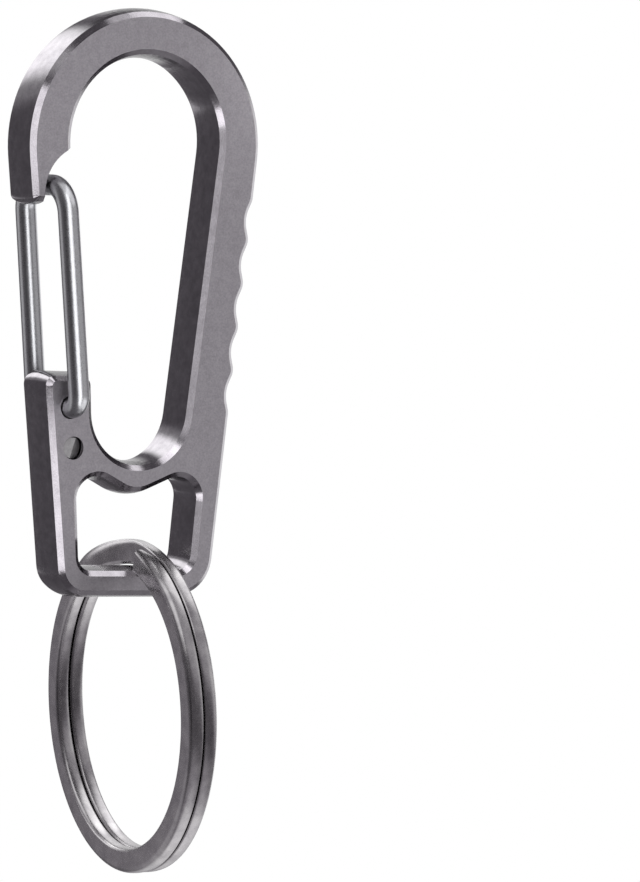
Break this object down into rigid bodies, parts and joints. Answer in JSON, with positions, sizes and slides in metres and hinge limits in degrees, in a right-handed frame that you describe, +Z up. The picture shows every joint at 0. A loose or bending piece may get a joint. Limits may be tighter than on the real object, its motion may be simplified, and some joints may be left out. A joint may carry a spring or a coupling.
{
  "type": "belt key clip",
  "caption": "Flat milled titanium belt clip with a teardrop hook, a sprung wire gate, a scalloped spine and a ring window that carries a flat split key ring.",
  "frame": {"origin": "seat of the hook: the top of the loop at mid thickness, where a belt loop or rail bears", "axes": "+Z up along the clip, +X across it from the gate to the spine, +Y through it from the front face to the rear face"},
  "size_m": [0.0262, 0.0324, 0.0831],
  "materials": {
    "titanium": "satin titanium, fine even grain",
    "spring_wire": "polished spring steel wire",
    "ring_steel": "satin stainless strip"
  },
  "bodies": {
    "frame": {"clip_body": "titanium"},
    "gate": {"wire_gate": "spring_wire"},
    "ring": {"split_ring": "ring_steel"}
  },
  "joints": [
    {"name": "gate_swing", "type": "hinge", "parent": "frame", "child": "gate", "pos_m": [-0.00705, 0, -0.03345], "axis": [0, 1, 0], "range_deg": [0, 35], "stiffness_Nm_per_rad": 0.15, "springref_deg": -5.73, "deforming": ["wire_gate"]},
    {"name": "ring_swing", "type": "hinge", "parent": "frame", "child": "ring", "pos_m": [0.00279, 0, -0.0558], "axis": [1, 0, 0], "range_deg": [-60, 60]}
  ]
}
